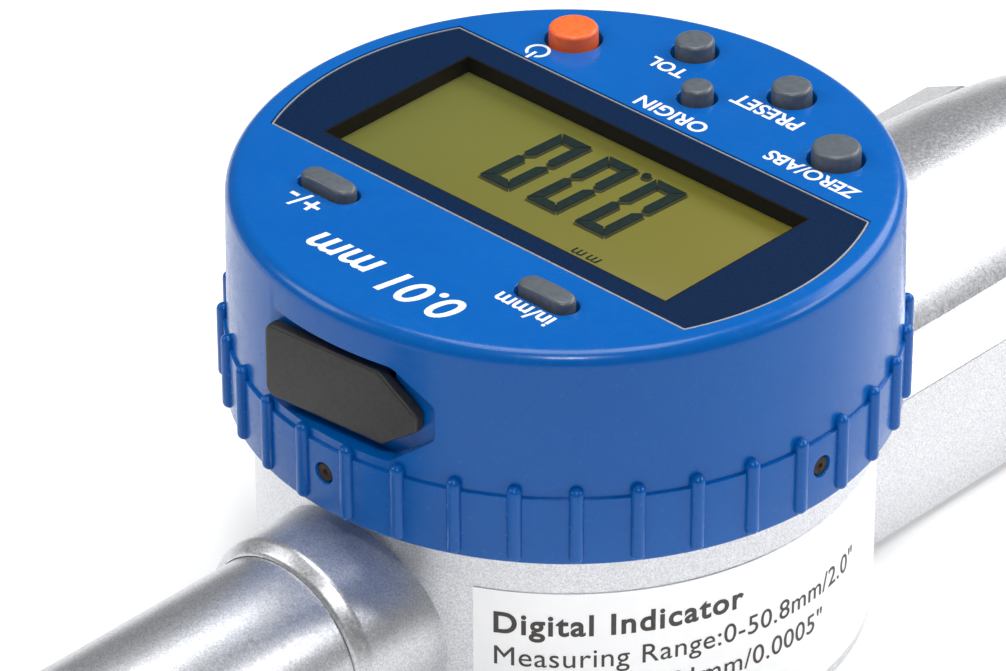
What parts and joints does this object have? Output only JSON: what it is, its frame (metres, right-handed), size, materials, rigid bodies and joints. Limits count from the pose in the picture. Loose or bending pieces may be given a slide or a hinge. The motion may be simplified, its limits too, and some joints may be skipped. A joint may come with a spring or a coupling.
{
  "type": "electronic indicator",
  "caption": "Round electronic indicator with a rotating display head, long-travel plunger, plain mounting stem and a rear-side tube for the plunger's travel.",
  "frame": {"origin": "centre of the round case on its flat rear face", "axes": "+Z out of the display, +Y towards the top tube, -Y along the spindle to its contact point, +X to the display's right"},
  "size_m": [0.061, 0.2505, 0.0443],
  "materials": {
    "head_plastic": "moulded, satin gloss, saturated blue",
    "silver_casting": "bead-blasted die casting",
    "ground_steel": "ground and polished",
    "dark_steel": "blackened",
    "tube_metal": "satin anodised",
    "lens_clear": "clear acrylic",
    "navy_print": "printed film",
    "black_plastic": "matte",
    "lcd_glass": "olive liquid-crystal glass",
    "board_green": "solder resist",
    "grey_rubber": "grey key rubber",
    "orange_rubber": "orange key rubber",
    "black_rubber": "matte",
    "bush_brass": "turned",
    "label_paper": "printed label",
    "cover_plate": "bead-blasted plate",
    "felt": "felt ring",
    "cell_metal": "nickel-plated",
    "polyimide": "flexible printed circuit",
    "scale_glass": "plated scale",
    "carbide": "polished ball point"
  },
  "bodies": {
    "case": {"body_casting": "silver_casting", "case_label": "label_paper", "rear_cover": "cover_plate", "rear_cover_screws": "ground_steel", "stem": "ground_steel", "upper_bush": "bush_brass", "lower_bush": "bush_brass", "stem_seal": "felt", "stop_buffer": "black_rubber", "top_tube": "tube_metal", "tube_cap": "tube_metal", "spring_guide": "ground_steel", "return_spring": "ground_steel", "reader_board": "board_green", "reader_chips": "black_plastic", "reader_screws": "ground_steel", "guide_rod": "ground_steel", "turn_stop_pin": "ground_steel", "head_seal": "black_rubber", "flex_cable": "polyimide", "battery_cell": "cell_metal", "battery_holder": "black_plastic", "battery_side_contact": "ground_steel", "battery_top_contact": "ground_steel"},
    "display_head": {"head_shell": "head_plastic", "retaining_screws": "dark_steel", "window_lens": "lens_clear", "window_mask": "navy_print", "lcd_frame": "black_plastic", "lcd_panel": "lcd_glass", "contact_strips": "grey_rubber", "display_board": "board_green", "head_base": "silver_casting", "head_screws": "ground_steel", "display_chips": "black_plastic", "data_port_socket": "black_plastic", "key_switches": "ground_steel"},
    "spindle_set": {"spindle": "ground_steel", "contact_point": "carbide", "spring_seat": "bush_brass", "spindle_clamp": "bush_brass", "clamp_screw": "dark_steel", "scale_carrier": "cover_plate", "scale_strip": "scale_glass"},
    "battery_hatch": {"battery_cover": "cover_plate"},
    "port_plug": {"data_port_plug": "black_rubber"},
    "power_key": {"power_button": "orange_rubber"},
    "tol_key": {"tol_button": "grey_rubber"},
    "origin_key": {"origin_button": "grey_rubber"},
    "preset_key": {"preset_button": "grey_rubber"},
    "zero_key": {"zero_button": "grey_rubber"},
    "plus_minus_key": {"plus_minus_button": "grey_rubber"},
    "unit_key": {"unit_button": "grey_rubber"}
  },
  "joints": [
    {"name": "spindle_slide", "type": "slide", "parent": "case", "child": "spindle_set", "axis": [0, 1, 0], "range_m": [0, 0.0508], "stiffness_N_per_m": 20, "springref_m": -0.075, "deforming": ["return_spring"]},
    {"name": "head_turn", "type": "hinge", "parent": "case", "child": "display_head", "pos_m": [0, 0, 0], "axis": [0, 0, 1], "range_deg": [-135, 135], "deforming": ["flex_cable"]},
    {"name": "battery_cover_turn", "type": "hinge", "parent": "case", "child": "battery_hatch", "pos_m": [0, 0.004, 0], "axis": [0, 0, -1], "range_deg": [0, 60]},
    {"name": "port_plug_pull", "type": "slide", "parent": "display_head", "child": "port_plug", "axis": [-0.0872, 0.9962, 0], "range_m": [0, 0.008]},
    {"name": "power_press", "type": "slide", "parent": "display_head", "child": "power_key", "axis": [0, 0, -1], "range_m": [0, 0.0006], "stiffness_N_per_m": 600, "springref_m": -0.0015},
    {"name": "tol_press", "type": "slide", "parent": "display_head", "child": "tol_key", "axis": [0, 0, -1], "range_m": [0, 0.0006], "stiffness_N_per_m": 600, "springref_m": -0.0015},
    {"name": "origin_press", "type": "slide", "parent": "display_head", "child": "origin_key", "axis": [0, 0, -1], "range_m": [0, 0.0006], "stiffness_N_per_m": 600, "springref_m": -0.0015},
    {"name": "preset_press", "type": "slide", "parent": "display_head", "child": "preset_key", "axis": [0, 0, -1], "range_m": [0, 0.0006], "stiffness_N_per_m": 600, "springref_m": -0.0015},
    {"name": "zero_press", "type": "slide", "parent": "display_head", "child": "zero_key", "axis": [0, 0, -1], "range_m": [0, 0.0006], "stiffness_N_per_m": 600, "springref_m": -0.0015},
    {"name": "plus_minus_press", "type": "slide", "parent": "display_head", "child": "plus_minus_key", "axis": [0, 0, -1], "range_m": [0, 0.0006], "stiffness_N_per_m": 600, "springref_m": -0.0015},
    {"name": "unit_press", "type": "slide", "parent": "display_head", "child": "unit_key", "axis": [0, 0, -1], "range_m": [0, 0.0006], "stiffness_N_per_m": 600, "springref_m": -0.0015}
  ]
}
